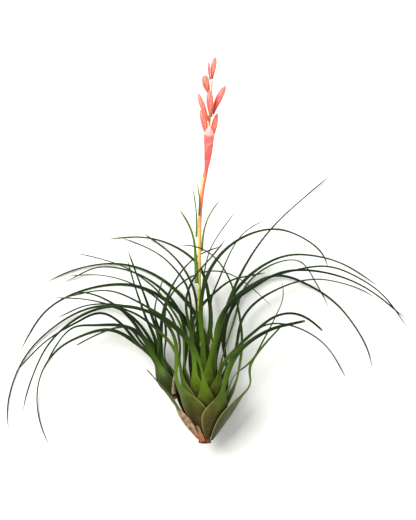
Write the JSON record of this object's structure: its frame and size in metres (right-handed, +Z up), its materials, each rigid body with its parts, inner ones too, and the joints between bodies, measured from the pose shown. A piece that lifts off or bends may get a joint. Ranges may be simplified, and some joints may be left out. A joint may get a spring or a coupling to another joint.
{
  "type": "air-plant bromeliad",
  "caption": "Unpotted grass-leaved bromeliad laid on its back: arching green leaves from a sheathed bulb, a side shoot, and a coral flower spike on a slender stem.",
  "frame": {"origin": "under the middle of the plant, on the surface that it lies on", "axes": "+Z up from that surface, +Y from the plant's base towards its flowers, +X across its spread of leaves"},
  "size_m": [0.228, 0.2202, 0.0605],
  "materials": {
    "leaf_green": "dark green channelled leaf, paler and yellower low down, satin, sheaths olive with brown heels",
    "bract_green": "bright green folded bract with a drier pointed tip",
    "coral_flower": "coral pink waxy petal and bract, paler to yellowish at the lips",
    "flower_stem": "yellow-green low down, through orange to coral pink at the flowers, smooth and satin",
    "dry_husk": "dry papery tan and brown sheath, finely veined, matt",
    "woody_stem": "dark brown woody stem base, rough and matt"
  },
  "bodies": {
    "root": {"stem_base": "woody_stem", "main_leaf_00": "leaf_green", "main_leaf_01": "leaf_green", "main_leaf_02": "leaf_green", "main_leaf_03": "leaf_green", "main_leaf_04": "leaf_green", "main_leaf_05": "leaf_green", "main_dry_sheath": "dry_husk", "main_leaf_07": "leaf_green", "main_leaf_08": "leaf_green", "main_leaf_09": "leaf_green", "main_leaf_10": "leaf_green", "main_leaf_11": "leaf_green", "main_leaf_12": "leaf_green", "main_leaf_13": "leaf_green", "main_leaf_14": "leaf_green", "main_leaf_15": "leaf_green", "main_leaf_16": "leaf_green", "main_leaf_17": "leaf_green", "main_leaf_18": "leaf_green", "main_leaf_19": "leaf_green", "main_leaf_20": "leaf_green", "main_leaf_21": "leaf_green", "main_leaf_22": "leaf_green", "main_leaf_23": "leaf_green", "main_leaf_24": "leaf_green", "main_leaf_25": "leaf_green", "main_leaf_26": "leaf_green", "main_leaf_27": "leaf_green", "main_leaf_28": "leaf_green", "main_leaf_29": "leaf_green", "main_leaf_30": "leaf_green", "main_leaf_31": "leaf_green", "torn_sheath": "dry_husk", "pup_stem": "woody_stem", "pup_leaf_00": "leaf_green", "pup_leaf_01": "leaf_green", "pup_leaf_02": "leaf_green", "pup_leaf_03": "leaf_green", "pup_leaf_04": "leaf_green", "pup_leaf_05": "leaf_green", "pup_leaf_06": "leaf_green", "pup_leaf_07": "leaf_green", "pup_leaf_08": "leaf_green", "pup_leaf_09": "leaf_green", "pup_husk": "dry_husk", "scape": "flower_stem", "scape_bract_lower": "bract_green", "scape_bract_right": "bract_green", "scape_bract_left": "bract_green", "scape_bract_upper": "bract_green", "flower_bract": "coral_flower", "flower_lower_left": "coral_flower", "flower_lower_right": "coral_flower", "flower_left": "coral_flower", "flower_centre": "coral_flower", "flower_right": "coral_flower", "flower_upper_left": "coral_flower", "flower_bud": "coral_flower", "flower_top": "coral_flower"}
  },
  "joints": []
}
